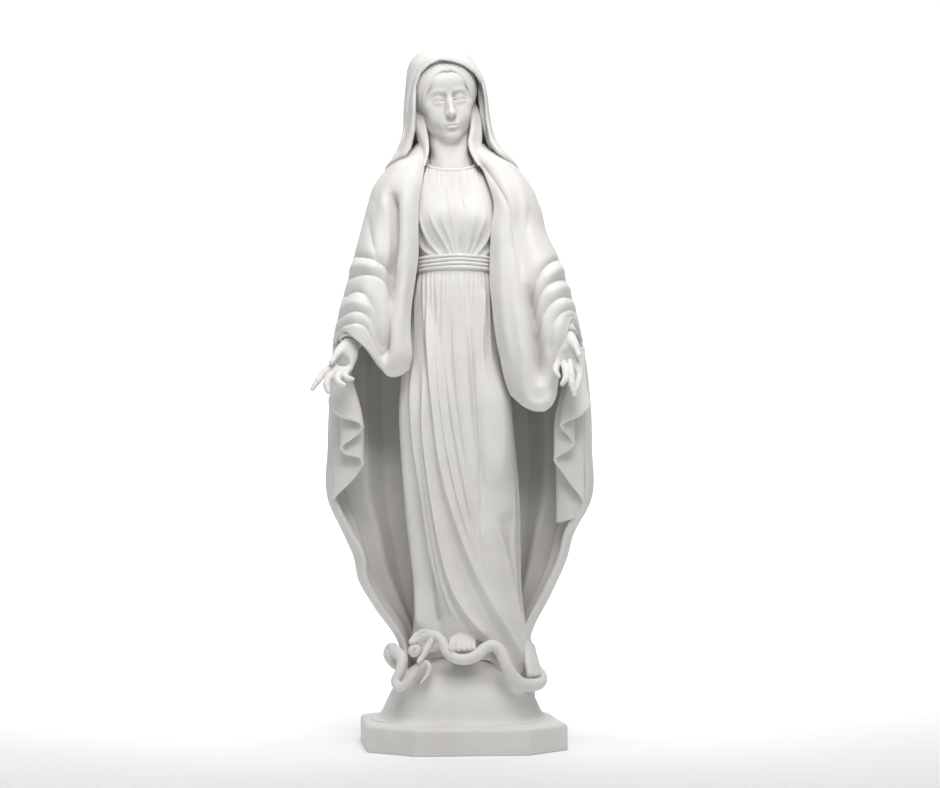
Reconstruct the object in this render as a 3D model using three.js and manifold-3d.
// A one metre hollow-cast madonna statue: the draped figure, its serpent and globe, and the octagonal plinth,
// with the board, steel armature and ballast that hold it up inside. Millimetres, +Z up.
// The part's origin is the middle of the plinth's underside, and the plinth's front faces -Y.
import * as THREE from "three";
import { mergeVertices } from "three/addons/utils/BufferGeometryUtils.js";
import Module from "manifold-3d";

const wasm = await Module();
wasm.setup();

// Driving dimensions.
const GAP = 0.3; // clearance between pieces that touch
const GLOBE_GAP = 1.3; // more over the globe, whose facets the turned figure crosses at an angle
const WALL = 6; // thickness of the cast shells
const FIGURE_TURN_DEG = -6; // the figure stands turned a little to its right on the plinth
const PLINTH = { halfWidth: 138, halfDepth: 148, chamfer: 61, height: 37, rim: 10, ledge: 14, top: 9, well: 70 };
const BOARD_THICKNESS = 12;
const GLOBE = { radius: 114, centreZ: 20, wall: 7, footRadius: 121, neckHole: 30 };
const POST = { x: -4, y: 4, radius: 11, bore: 9, top: 792 };
const FLANGE = { radius: 48, thickness: 6, boltCircle: 36 };
const SHOULDER_BAR = { z: 764, x: -11, width: 96, depth: 34, thickness: 14 };
const ARM_ROD_RADIUS = 4;
const ARM_ROD_ROOM = 1.4; // clearance of the cast shells round the arm rods
const DOWEL_RADIUS = 3;
const CUFF = { radius: 15.5, bore: 12.5, room: 1.5 };
const SERPENT = { radius: 7.4, tailSwell: 1.6, tailTaper: 0.28 };

// Fasteners: M8 bolts and nuts hold the post's flange, and M8 threaded inserts take ground anchors.
const BOLT = { radius: 4, hole: 4.6, headRadius: 6.5, seatRadius: 8, seatDepth: 6, above: 12 };
const NUT = { radius: 7, height: 6.5 };
const SCREW = { radius: 2.3, headRadius: 5, headDepth: 4, tip: 26, pilot: 28 };
const INSERT = { radius: 6.5, bore: 4, recess: 0.4 };
const HEAD_RECESS = 0.8; // bolt and screw heads sit this far above the underside
const ROUND = 10; // sides of a small round hole or shank

// Horizontal sections of the figure, each as z, centre x, half width, centre y, half depth.
const SKIRT = [
  [92, 4, 86, 2, 74], [128, 4, 82, 0, 70], [180, 2, 77, 0, 64], [260, -3, 77, 0, 62], [360, -6, 78, 0, 61],
  [460, -9, 78, 0, 60], [550, -10, 73, 0, 56], [620, -10, 64, 0, 50], [668, -9, 57, 0, 45],
];
const SASH = [[668, -8, 59, 0, 47], [680, -8, 58, 0, 46.5], [692, -8, 59, 0, 47]];
const BODICE = [
  [692, -8, 56, 0, 45], [720, -9, 61, -2, 51], [752, -11, 68, 0, 53], [785, -13, 72, 4, 44], [805, -14, 62, 6, 36],
  [818, -15, 32, 6, 27],
];
const NECKBAND = [[812, -15, 37, 4, 33], [817, -15, 36, 5, 32], [822, -15, 33, 6, 29]];
const LEFT_DRAPE = [
  [516, -89, 14, -34, 16], [524, -94, 22, -32, 28], [545, -108, 36, -28, 42], [565, -124, 56, -26, 50],
  [590, -124, 52, -20, 54], [630, -118, 48, -10, 56], [685, -110, 44, 0, 52], [735, -102, 38, 5, 46],
  [780, -96, 33, 8, 40], [806, -84, 26, 8, 32], [822, -72, 14, 8, 20],
];
const RIGHT_DRAPE = [
  [470, 113, 14, -34, 16], [480, 112, 24, -32, 28], [510, 110, 32, -28, 40], [545, 108, 36, -26, 46],
  [572, 118, 54, -24, 50], [600, 114, 52, -18, 54], [640, 106, 49, -8, 56], [685, 92, 47, 0, 52],
  [735, 80, 38, 5, 46], [780, 68, 34, 8, 40], [806, 56, 27, 8, 32], [822, 44, 14, 8, 20],
];
const VEIL = [
  [780, -16, 66, 30, 52], [806, -16, 76, 22, 56], [832, -14, 84, 14, 56], [848, -17, 76, 10, 58],
  [870, -20, 68, 8, 62], [900, -21, 62, 8, 66], [930, -22, 59, 8, 67], [955, -23, 53, 9, 61], [975, -23, 45, 10, 52],
  [990, -24, 31, 11, 37], [1000, -24, 10, 12, 14],
];
// The mantle's plan at each height: z, centre x, half width, front edge y, back y.
const MANTLE = [
  [100, 2, 92, 6, 84], [160, 3, 96, 4, 88], [220, 0, 122, 0, 94], [280, -2, 150, -2, 98], [340, -3, 174, -4, 100],
  [420, -4, 177, -6, 102], [520, -3, 176, -4, 102], [600, -5, 160, 0, 98], [680, -8, 140, 6, 92],
  [740, -11, 122, 8, 84], [790, -14, 102, 8, 72], [818, -15, 78, 8, 58],
];
const MANTLE_WALL = 7;

// Outline of the mantle from the front, as x, z: its hem rises from the globe to the hands.
const MANTLE_FRONT = [
  [-76, 100], [-80, 152], [-110, 190], [-134, 226], [-143, 262], [-181, 344], [-181, 470], [-181, 640], [-150, 820],
  [120, 820], [175, 640], [175, 470], [174, 322], [146, 302], [143, 262], [118, 222], [88, 162], [84, 100],
];

const steel = new THREE.MeshStandardMaterial({ color: 0x9a9c9e, roughness: 0.45, metalness: 0.9 });
const brass = new THREE.MeshStandardMaterial({ color: 0xb08a48, roughness: 0.4, metalness: 0.9 });
const plywood = new THREE.MeshStandardMaterial({ color: 0xb6925f, roughness: 0.8, metalness: 0 });
const cement = new THREE.MeshStandardMaterial({ color: 0x8f8d88, roughness: 0.95, metalness: 0 });
const castStone = new THREE.MeshStandardMaterial({ color: 0xe9e5df, roughness: 0.72, metalness: 0 });

const statue = new THREE.Group();
const figure = new THREE.Group();
figure.rotation.z = THREE.MathUtils.degToRad(FIGURE_TURN_DEG);
statue.add(figure);

// A closed surface as a solid that can be cut and joined.
function solid(geometry) {
  const g = geometry.index ? geometry.toNonIndexed() : geometry.clone();
  g.deleteAttribute("normal");
  g.deleteAttribute("uv");
  const merged = mergeVertices(g, 1e-4);
  return new wasm.Manifold(
    new wasm.Mesh({
      numProp: 3,
      vertProperties: new Float32Array(merged.attributes.position.array),
      triVerts: new Uint32Array(merged.index.array),
    }),
  );
}

// The surface of a solid; loose crumbs left by a cut are dropped.
function geometryOf(made) {
  const bodies = made.decompose().sort((a, b) => b.volume() - a.volume());
  const mesh = bodies[0].getMesh();
  const g = new THREE.BufferGeometry();
  g.setAttribute("position", new THREE.BufferAttribute(new Float32Array(mesh.vertProperties), 3));
  g.setIndex(new THREE.BufferAttribute(new Uint32Array(mesh.triVerts), 1));
  g.computeVertexNormals();
  return g;
}

function place(parent, name, made, material) {
  const mesh = new THREE.Mesh(geometryOf(made), material);
  mesh.name = name;
  parent.add(mesh);
}

// A closed solid through horizontal rings of points, each ring counter-clockwise seen from above.
function loft(rings) {
  const n = rings[0].length;
  const positions = rings.flat().flatMap((p) => [p.x, p.y, p.z]);
  const index = [];
  for (let r = 0; r + 1 < rings.length; r++)
    for (let i = 0; i < n; i++) {
      const a = r * n + i;
      const b = r * n + ((i + 1) % n);
      index.push(a, b, b + n, a, b + n, a + n);
    }
  const cap = (ring, base, flip) => {
    const flat = ring.map((p) => new THREE.Vector2(p.x, p.y));
    for (const [a, b, c] of THREE.ShapeUtils.triangulateShape(flat, []))
      index.push(base + a, base + (flip ? c : b), base + (flip ? b : c));
  };
  cap(rings[0], 0, true);
  cap(rings.at(-1), (rings.length - 1) * n, false);
  const g = new THREE.BufferGeometry();
  g.setAttribute("position", new THREE.Float32BufferAttribute(positions, 3));
  g.setIndex(index);
  return solid(g);
}

function ellipseRing([z, cx, halfWidth, cy, halfDepth], grow, segments) {
  return Array.from({ length: segments }, (_, i) => {
    const a = (2 * Math.PI * i) / segments;
    return new THREE.Vector3(cx + (halfWidth + grow) * Math.cos(a), cy + (halfDepth + grow) * Math.sin(a), z);
  });
}

// A solid column through elliptical sections, grown or shrunk all round and stretched at its ends.
function column(sections, grow = 0, stretch = 0, segments = 16) {
  const rows = sections.map((row) => [...row]);
  rows[0][0] -= stretch;
  rows.at(-1)[0] += stretch;
  return loft(rows.map((row) => ellipseRing(row, grow, segments)));
}

function cylinder(radius, z0, z1, x = 0, y = 0, segments = 16) {
  const g = new THREE.CylinderGeometry(radius, radius, z1 - z0, segments);
  g.rotateX(Math.PI / 2);
  g.translate(x, y, (z0 + z1) / 2);
  return solid(g);
}

function box(x0, x1, y0, y1, z0, z1) {
  const g = new THREE.BoxGeometry(x1 - x0, y1 - y0, z1 - z0);
  g.translate((x0 + x1) / 2, (y0 + y1) / 2, (z0 + z1) / 2);
  return solid(g);
}

function ellipsoid(x, y, z, rx, ry, rz, widthSegments = 12, heightSegments = 8) {
  const g = new THREE.SphereGeometry(1, widthSegments, heightSegments);
  g.rotateX(Math.PI / 2);
  g.scale(rx, ry, rz);
  g.translate(x, y, z);
  return solid(g);
}

// A round bar along a smooth curve; radiusAt gives its radius from 0 at the start to 1 at the end.
function bar(points, radiusAt, steps, sides = 10) {
  const curve = new THREE.CatmullRomCurve3(points.map((p) => new THREE.Vector3(...p)), false, "centripetal");
  const frames = curve.computeFrenetFrames(steps, false);
  const rings = [];
  for (let s = 0; s <= steps; s++) {
    const centre = curve.getPointAt(s / steps);
    const radius = radiusAt(s / steps);
    const ring = [];
    for (let i = 0; i < sides; i++) {
      const a = (2 * Math.PI * i) / sides;
      ring.push(
        centre
          .clone()
          .addScaledVector(frames.normals[s], radius * Math.cos(a))
          .addScaledVector(frames.binormals[s], radius * Math.sin(a)),
      );
    }
    rings.push(ring);
  }
  const positions = rings.flat().flatMap((p) => [p.x, p.y, p.z]);
  const index = [];
  for (let r = 0; r < steps; r++)
    for (let i = 0; i < sides; i++) {
      const a = r * sides + i;
      const b = r * sides + ((i + 1) % sides);
      index.push(a, b, b + sides, a, b + sides, a + sides);
    }
  for (let i = 1; i + 1 < sides; i++) {
    const end = steps * sides;
    index.push(0, i + 1, i, end, end + i, end + i + 1);
  }
  const g = new THREE.BufferGeometry();
  g.setAttribute("position", new THREE.Float32BufferAttribute(positions, 3));
  g.setIndex(index);
  return solid(g);
}

// A solid turned about a vertical line from a profile of radius and height.
function lathe(profile, segments = 40) {
  const g = new THREE.LatheGeometry(profile.map(([r, z]) => new THREE.Vector2(r, z)), segments);
  g.rotateX(Math.PI / 2);
  return solid(g);
}

// A front outline of x, z points pushed through in y.
function slabFromFront(outline, y0, y1) {
  const shape = new THREE.Shape(outline.map(([x, z]) => new THREE.Vector2(x, z)));
  const g = new THREE.ExtrudeGeometry(shape, { depth: y1 - y0, bevelEnabled: false });
  g.rotateX(Math.PI / 2);
  g.translate(0, y1, 0);
  return solid(g);
}

// The plinth's octagon, drawn in by an inset, between two heights.
function octagon(inset, z0, z1) {
  const w = PLINTH.halfWidth - inset;
  const d = PLINTH.halfDepth - inset;
  const c = PLINTH.chamfer - inset * (2 - Math.SQRT2);
  const shape = new THREE.Shape(
    [[w - c, -d], [w, -d + c], [w, d - c], [w - c, d], [-w + c, d], [-w, d - c], [-w, -d + c], [-w + c, -d]].map(
      ([x, y]) => new THREE.Vector2(x, y),
    ),
  );
  const g = new THREE.ExtrudeGeometry(shape, { depth: z1 - z0, bevelEnabled: false });
  g.translate(0, 0, z0);
  return solid(g);
}

// The globe's outer form, filled in, from its foot on the plinth to its top.
function globeForm(grow) {
  const foot = PLINTH.height + GAP - grow;
  return lathe([[0, foot], ...globeOutline(grow), [0, GLOBE.centreZ + GLOBE.radius + grow]], GLOBE_SEGMENTS);
}

// ---- plinth, board and their fasteners
const boltSpots = [45, 135, 225, 315].map((deg) => {
  const a = THREE.MathUtils.degToRad(deg);
  return [POST.x + FLANGE.boltCircle * Math.cos(a), POST.y + FLANGE.boltCircle * Math.sin(a)];
});
const rimMiddle = PLINTH.rim + PLINTH.ledge / 2;
const screwSpots = [
  [PLINTH.halfWidth - rimMiddle, 0], [0, PLINTH.halfDepth - rimMiddle],
  [-PLINTH.halfWidth + rimMiddle, 0], [0, -PLINTH.halfDepth + rimMiddle],
];
const insertSpots = [[80, 90], [-80, 90], [-80, -90], [80, -90]];

function makePlinth() {
  let made = octagon(0, 0, PLINTH.height)
    .subtract(octagon(PLINTH.rim, -1, BOARD_THICKNESS + GAP))
    .subtract(octagon(PLINTH.rim + PLINTH.ledge, 0, PLINTH.height - PLINTH.top))
    .subtract(cylinder(PLINTH.well, 0, PLINTH.height + 1, 0, 0, 32));
  for (const [x, y] of screwSpots)
    made = made.subtract(cylinder(SCREW.radius + GAP, BOARD_THICKNESS, SCREW.pilot, x, y, ROUND));
  place(statue, "plinth", made, castStone);
}

function makeBoard() {
  let made = octagon(PLINTH.rim + GAP, 0, BOARD_THICKNESS);
  const drill = (radius, top, [x, y]) => {
    made = made.subtract(cylinder(radius, -1, top, x, y, ROUND));
  };
  const through = BOARD_THICKNESS + 1;
  for (const spot of boltSpots) {
    drill(BOLT.hole, through, spot);
    drill(BOLT.seatRadius, BOLT.seatDepth, spot);
  }
  for (const spot of screwSpots) {
    drill(SCREW.radius + GAP, through, spot);
    drill(SCREW.headRadius + GAP, SCREW.headDepth, spot);
  }
  for (const spot of insertSpots) drill(INSERT.radius + GAP, through, spot);
  place(statue, "base_board", made, plywood);
}

function makeFasteners() {
  const flangeTop = BOARD_THICKNESS + GAP + FLANGE.thickness;
  boltSpots.forEach(([x, y], i) => {
    const shank = cylinder(BOLT.radius, BOLT.seatDepth - 1, flangeTop + BOLT.above, x, y, ROUND);
    const head = cylinder(BOLT.headRadius, HEAD_RECESS, BOLT.seatDepth - GAP, x, y, 6);
    place(statue, `flange_bolt_${i + 1}`, shank.add(head), steel);
    const nut = cylinder(NUT.radius, flangeTop + GAP, flangeTop + GAP + NUT.height, x, y, 6);
    place(statue, `flange_nut_${i + 1}`, nut.subtract(cylinder(BOLT.hole, 0, 60, x, y, ROUND)), steel);
  });
  screwSpots.forEach(([x, y], i) => {
    const shank = cylinder(SCREW.radius, SCREW.headDepth - 1, SCREW.tip, x, y, ROUND);
    const head = cylinder(SCREW.headRadius, HEAD_RECESS, SCREW.headDepth - GAP, x, y, ROUND);
    place(statue, `board_screw_${i + 1}`, shank.add(head), brass);
  });
  insertSpots.forEach(([x, y], i) => {
    const sleeve = cylinder(INSERT.radius, INSERT.recess, BOARD_THICKNESS, x, y, ROUND);
    const bore = cylinder(INSERT.bore, -1, BOARD_THICKNESS + 1, x, y, ROUND);
    place(statue, `anchor_insert_${i + 1}`, sleeve.subtract(bore), steel);
  });
}

// ---- globe and ballast
const GLOBE_ARC_STEPS = 6;
const GLOBE_SEGMENTS = 24;
const BALLAST = { floor: 38, top: 76, radii: [[98, 38], [97, 52], [88, 76]] };

function globeArc(radius, from, to) {
  return Array.from({ length: GLOBE_ARC_STEPS + 1 }, (_, i) => {
    const a = from + ((to - from) * i) / GLOBE_ARC_STEPS;
    return [radius * Math.cos(a), GLOBE.centreZ + radius * Math.sin(a)];
  });
}

// The outer profile, from the flared foot to the rim of the hole that the armature passes through.
function globeOutline(grow) {
  const foot = PLINTH.height + GAP;
  const top = Math.acos(GLOBE.neckHole / GLOBE.radius);
  return [
    [GLOBE.footRadius + grow, foot - grow], [GLOBE.footRadius - 2 + grow, foot + 3],
    [GLOBE.footRadius - 6 + grow, foot + 8], ...globeArc(GLOBE.radius + grow, 0.29, top),
  ];
}

function makeGlobe() {
  const inner = GLOBE.radius - GLOBE.wall;
  const innerTop = Math.acos(GLOBE.neckHole / inner);
  const outline = globeOutline(0);
  const profile = [...outline, ...globeArc(inner, innerTop, 0.17), [inner - 1, outline[0][1]], outline[0]];
  place(statue, "globe", lathe(profile, GLOBE_SEGMENTS), castStone);
  const ballastProfile = [[0, BALLAST.floor], ...BALLAST.radii, [0, BALLAST.top], [0, BALLAST.floor]];
  const ballast = lathe(ballastProfile, GLOBE_SEGMENTS);
  place(statue, "ballast", ballast.subtract(cylinder(POST.radius + 1, 0, 100, POST.x, POST.y)), cement);
}

// ---- steel armature
const NECK_DOWEL = [[-17, 8, POST.top + GAP], [-18, 8, 835], [-20, 6, 880]];
const NECK_DOWEL_RADIUS = 5;

function makeArmature() {
  const flangeBase = BOARD_THICKNESS + GAP;
  const hole = cylinder(POST.radius + GAP, 0, POST.top + 10, POST.x, POST.y);
  const disc = cylinder(FLANGE.radius, flangeBase, flangeBase + FLANGE.thickness, POST.x, POST.y, 28);
  let flange = disc.subtract(hole);
  for (const [x, y] of boltSpots) flange = flange.subtract(cylinder(BOLT.hole, 0, 30, x, y, ROUND));
  place(statue, "post_flange", flange, steel);
  const post = cylinder(POST.radius, flangeBase, POST.top, POST.x, POST.y);
  place(statue, "armature_post", post.subtract(cylinder(POST.bore, 0, 900, POST.x, POST.y)), steel);
  const { x, z, width, depth, thickness } = SHOULDER_BAR;
  const flat = box(x - width / 2, x + width / 2, POST.y - depth / 2, POST.y + depth / 2, z, z + thickness);
  place(statue, "shoulder_bar", flat.subtract(hole), steel);
  place(figure, "neck_dowel", bar(NECK_DOWEL, () => NECK_DOWEL_RADIUS, 6, 8), steel);
}

// ---- arms: rod, dowel, cuff and hand, drawn for each side; the thumb comes first among the fingers
const HAND = { wristRadius: 11, palmSwell: 5, thumb: 5.6, finger: 4.9, taper: 0.35 };

const ARMS = {
  left: {
    rod: [[-64, 12, 771], [-86, 12, 764], [-112, 10, 722], [-134, 2, 664], [-148, -32, 604], [-152, -48, 580]],
    wrist: [-153, -56, 567],
    hand: [-160, -66, 552],
    cuff: [[-150, -42, 590], [-153, -56, 566]],
    palm: [[-153, -58, 565], [-160, -66, 553], [-167, -74, 541], [-170, -80, 528]],
    fingers: [
      [[-158, -66, 556], [-174, -80, 552], [-184, -90, 540]],
      [[-176, -80, 534], [-188, -92, 520], [-198, -100, 508], [-206, -104, 497]],
      [[-172, -82, 528], [-180, -96, 514], [-182, -104, 500]],
      [[-165, -82, 526], [-168, -98, 514], [-166, -108, 506]],
      [[-158, -78, 529], [-158, -92, 519], [-155, -100, 513]],
    ],
  },
  right: {
    rod: [[41, 4, 771], [66, 6, 764], [96, 8, 722], [120, 2, 664], [138, -32, 612], [145, -46, 592]],
    wrist: [148, -56, 577],
    hand: [150, -64, 562],
    cuff: [[143, -40, 603], [148, -54, 578]],
    palm: [[148, -56, 576], [149, -63, 562], [150, -69, 549], [151, -73, 538]],
    fingers: [
      [[150, -66, 568], [162, -78, 560], [168, -86, 546]],
      [[160, -72, 540], [168, -82, 524], [168, -90, 508], [164, -94, 494]],
      [[153, -76, 536], [157, -88, 520], [157, -96, 506], [154, -100, 494]],
      [[146, -76, 537], [147, -90, 524], [144, -99, 512]],
      [[140, -72, 540], [136, -84, 530], [133, -92, 522]],
    ],
  },
};

// What the shells keep clear of: each arm's rod, and its cuff with the way in from the rod.
const rodSpace = (arm) => bar(arm.rod, () => ARM_ROD_RADIUS + ARM_ROD_ROOM, 10, 6);
const cuffSpace = (arm) => bar([arm.rod.at(-3), ...arm.cuff, arm.hand], () => CUFF.radius + CUFF.room, 6, 12);

function makeHand(arm) {
  const { wristRadius, palmSwell, thumb, finger, taper } = HAND;
  let made = bar(arm.palm, (t) => wristRadius + palmSwell * Math.sin(Math.PI * Math.min(1, t + 0.1)), 5, 8);
  arm.fingers.forEach((points, i) => {
    const base = i === 0 ? thumb : finger;
    made = made.add(bar(points, (t) => base * (1 - taper * t), 4, 6));
  });
  return made;
}

// The drape is open along its lower edge, behind the front loop.
const sleeveOpening = ([z, x, halfWidth, y, halfDepth]) => [z - 6, x - 4, halfWidth - 5, y + 12, halfDepth - 8];

function makeArms() {
  const drapes = { left: LEFT_DRAPE, right: RIGHT_DRAPE };
  const hidden = column(SKIRT, GAP, 1).add(column(BODICE, GAP, 1)).add(column(SASH, GAP, 1));
  for (const [side, arm] of Object.entries(ARMS)) {
    place(figure, `${side}_arm_rod`, bar(arm.rod, () => ARM_ROD_RADIUS, 10, 6), steel);
    const rodEnd = new THREE.Vector3(...arm.rod.at(-1));
    const wrist = new THREE.Vector3(...arm.wrist);
    const inHand = new THREE.Vector3(...arm.hand);
    const start = rodEnd.clone().lerp(wrist, 0.12);
    const dowelPoints = [start.toArray(), wrist.toArray(), inHand.toArray()];
    place(figure, `${side}_wrist_dowel`, bar(dowelPoints, () => DOWEL_RADIUS, 4, 8), brass);
    const bore = bar(dowelPoints, () => DOWEL_RADIUS + GAP, 4, 8);
    const hand = makeHand(arm).subtract(bore);
    place(figure, `${side}_hand`, hand, castStone);
    const cuff = bar(arm.cuff, () => CUFF.radius, 2, 12)
      .subtract(bar([arm.rod.at(-2), arm.wrist, arm.hand], () => CUFF.bore, 4, 12))
      .subtract(makeHand(arm));
    place(figure, `${side}_cuff`, cuff, castStone);
    const outer = column(drapes[side]);
    const inner = column(drapes[side].slice(1, -1), -WALL, 1);
    const opening = column(drapes[side].slice(0, 4).map(sleeveOpening), 0, 6);
    const drape = outer
      .subtract(inner)
      .subtract(opening)
      .subtract(hidden)
      .subtract(cuffSpace(arm))
      .subtract(rodSpace(arm))
      .subtract(makeHand(arm));
    place(figure, `${side}_mantle_drape`, drape, castStone);
  }
}

// ---- gown: skirt, sash, bodice and neckband
const NECK = { x: -15, y: 6, hole: 25.5 };

function makeGown() {
  const skirtRows = SKIRT.map((row) => [...row]);
  skirtRows.at(-1)[0] -= GAP;
  const skirt = column(skirtRows).subtract(column(SKIRT, -WALL, 2)).subtract(globeForm(GLOBE_GAP));
  place(figure, "gown_skirt", skirt.subtract(serpentSpace).subtract(feetSpace), castStone);
  place(figure, "sash", column(SASH).subtract(column(SASH, -WALL - 2, 2)), castStone);
  const bodiceRows = BODICE.map((row) => [...row]);
  bodiceRows[0][0] += GAP;
  const neckHole = cylinder(NECK.hole, 780, 840, NECK.x, NECK.y);
  const hollow = column(BODICE.slice(0, -1), -WALL, 1).add(neckHole);
  const rods = rodSpace(ARMS.left).add(rodSpace(ARMS.right));
  const bodice = column(bodiceRows).subtract(hollow).subtract(rods);
  place(figure, "gown_bodice", bodice, castStone);
  const band = column(NECKBAND).subtract(column(BODICE, GAP, 0)).subtract(neckHole);
  place(figure, "neckband", band, castStone);
}

// ---- head, hair and veil
const HEAD = { x: -18, y: 0, z: 900 };
const NECK_COLUMN = [[800, -15, 23, 6, 22], [830, -16, 22, 5, 21], [880, -18, 24, 4, 24]];

// An ellipsoid placed from the middle of the head: offsets in y and z, then its three half sizes.
const headPart = ([dy, dz, ...half], grow = 0) =>
  ellipsoid(HEAD.x, HEAD.y + dy, HEAD.z + dz, ...half.map((size) => size + grow));
const SKULL = [0, 18, 41, 49, 50];
const FACE = [-20, -12, 32, 32, 44];
const HAIR_CROWN = [0, 17, 48, 56, 58];
const HAIR_NAPE = [10, -18, 43, 38, 44];
const FACE_OPENING = [-54, -10, 35, 40, 62];
const VEIL_OPENING = [-62, -20, 42, 62, 82];

const headForm = (grow) => headPart(SKULL, grow).add(headPart(FACE, grow)).add(column(NECK_COLUMN, grow));
const hairForm = (grow) => headPart(HAIR_CROWN, grow).add(headPart(HAIR_NAPE, grow));

function makeHead() {
  const socketLine = [[-17, 8, POST.top], NECK_DOWEL[1], [-20, 6, 881]];
  const socket = bar(socketLine, () => NECK_DOWEL_RADIUS + GAP, 6);
  place(figure, "head", headForm(0).subtract(socket), castStone);
  place(figure, "hair", hairForm(0).subtract(headForm(GAP)).subtract(headPart(FACE_OPENING)), castStone);
  const throatOpening = column([[700, -15, 60, -40, 46], [840, -16, 46, -40, 50]]);
  const veil = column(VEIL)
    .subtract(column(VEIL.slice(0, -2), -WALL, 1))
    .subtract(hairForm(GAP))
    .subtract(headPart(VEIL_OPENING))
    .subtract(throatOpening)
    .subtract(column(BODICE, GAP, 1))
    .subtract(column(LEFT_DRAPE, GAP, 1))
    .subtract(column(RIGHT_DRAPE, GAP, 1))
    .subtract(column(NECKBAND, GAP, 1));
  place(figure, "veil", veil, castStone);
}

// ---- mantle: the back, and the pleated fall at each side
const MANTLE_ARC_STEPS = 16;

// Plan of each fall's accordion pleats, and its hem from the front.
const FALLS = {
  left: {
    plan: [
      [-180, -6], [-184, -22], [-176, -38], [-158, -32], [-150, -22], [-146, -30], [-162, -42], [-180, -48],
      [-191, -24], [-188, -6],
    ],
    front: [[-192, 344], [-172, 352], [-150, 376], [-143, 400], [-142, 560], [-192, 560]],
  },
  right: {
    plan: [
      [173, -6], [176, -22], [168, -38], [150, -32], [142, -22], [138, -30], [154, -42], [172, -48], [184, -24],
      [181, -6],
    ],
    front: [[186, 326], [150, 306], [138, 330], [136, 400], [136, 560], [186, 560]],
  },
};
const FALL_SPAN = [290, 590];

function mantleRing([z, cx, halfWidth, frontY, backY], outward) {
  const depth = backY - frontY;
  const arc = (grow) =>
    Array.from({ length: MANTLE_ARC_STEPS + 1 }, (_, i) => {
      const a = (Math.PI * i) / MANTLE_ARC_STEPS;
      return new THREE.Vector3(cx + (halfWidth + grow) * Math.cos(a), frontY + (depth + grow) * Math.sin(a), z);
    });
  return [...arc(outward), ...arc(outward - MANTLE_WALL).reverse()];
}

function makeMantle() {
  const sheet = loft(MANTLE.map((row) => mantleRing(row, 0)));
  const back = sheet
    .intersect(slabFromFront(MANTLE_FRONT, -150, 150))
    .subtract(column(LEFT_DRAPE, GAP, 1))
    .subtract(column(RIGHT_DRAPE, GAP, 1))
    .subtract(column(VEIL.slice(0, 4), GAP, 1))
    .subtract(column(SKIRT, GAP, 1))
    .subtract(column(BODICE, GAP, 1))
    .subtract(globeForm(GLOBE_GAP))
    .subtract(serpentSpace)
    .subtract(feetSpace);
  place(figure, "mantle_back", back, castStone);
  for (const [side, fall] of Object.entries(FALLS)) {
    const shape = new THREE.Shape(fall.plan.map(([x, y]) => new THREE.Vector2(x, y)));
    const g = new THREE.ExtrudeGeometry(shape, { depth: FALL_SPAN[1] - FALL_SPAN[0], bevelEnabled: false });
    g.translate(0, 0, FALL_SPAN[0]);
    const made = solid(g)
      .intersect(slabFromFront(fall.front, -150, 150))
      .subtract(loft(MANTLE.map((row) => mantleRing(row, GAP))))
      .subtract(column(side === "left" ? LEFT_DRAPE : RIGHT_DRAPE, GAP, 1))
      .subtract(makeHand(ARMS[side]))
      .subtract(cuffSpace(ARMS[side]));
    place(figure, `${side}_mantle_fall`, made, castStone);
  }
}

// ---- serpent, apple and feet
const SERPENT_TAIL_PATH = [
  [106, 22, 100], [92, 62, 100], [52, 96, 98], [0, 110, 96], [-52, 96, 98], [-92, 62, 106], [-104, 20, 128],
  [-97, -22, 138], [-93, -52, 112], [-92, -74, 88], [-82, -84, 88], [-68, -84, 110], [-60, -82, 118],
];
const SERPENT_FRONT_PATH = [
  [-52, -66, 146], [-38, -78, 146], [-28, -88, 126], [-6, -94, 118], [18, -90, 124], [36, -82, 138],
  [52, -84, 130], [62, -88, 108], [84, -82, 86], [104, -56, 84], [113, -22, 92], [109, 6, 99],
];

function serpentBody(grow) {
  const { radius, tailSwell, tailTaper } = SERPENT;
  const radiusAt = (t) => (radius + tailSwell * (1 - t)) * (1 - tailTaper * t * t) + grow;
  return bar(SERPENT_TAIL_PATH, radiusAt, 34, 8);
}

const serpentFront = (grow) => bar(SERPENT_FRONT_PATH, () => SERPENT.radius + grow, 26, 8);
const serpentHead = (grow) => ellipsoid(-62, -66, 141, 14 + grow, 12 + grow, 10 + grow);
const apple = (grow) => ellipsoid(-73, -78, 134, 8.5 + grow, 8.5 + grow, 8 + grow);
const toes = {
  left: (grow) => ellipsoid(-4, -78, 139, 19 + grow, 22 + grow, 8 + grow),
  right: (grow) => ellipsoid(92, -44, 112, 14 + grow, 26 + grow, 12 + grow),
};

const serpentSpace = serpentBody(GAP).add(serpentFront(GAP)).add(serpentHead(GAP)).add(apple(GAP));
const feetSpace = toes.left(GAP).add(toes.right(GAP));

function makeSerpent() {
  const ball = globeForm(GLOBE_GAP);
  const front = serpentFront(0).subtract(ball);
  place(figure, "serpent_front", front, castStone);
  const tail = serpentBody(0).subtract(ball).subtract(serpentFront(GAP)).subtract(serpentHead(GAP));
  place(figure, "serpent_tail", tail.subtract(apple(GAP)), castStone);
  const head = serpentHead(0).subtract(ball).subtract(serpentFront(GAP)).subtract(apple(GAP));
  place(figure, "serpent_head", head, castStone);
  place(figure, "apple", apple(0).subtract(ball).subtract(serpentBody(GAP)), castStone);
  for (const [side, toe] of Object.entries(toes)) {
    const foot = toe(0).subtract(ball).subtract(serpentFront(GAP)).subtract(serpentBody(GAP));
    place(figure, `${side}_foot`, foot, castStone);
  }
}

makePlinth();
makeBoard();
makeFasteners();
makeGlobe();
makeArmature();
makeArms();
makeGown();
makeHead();
makeMantle();
makeSerpent();

export default statue;
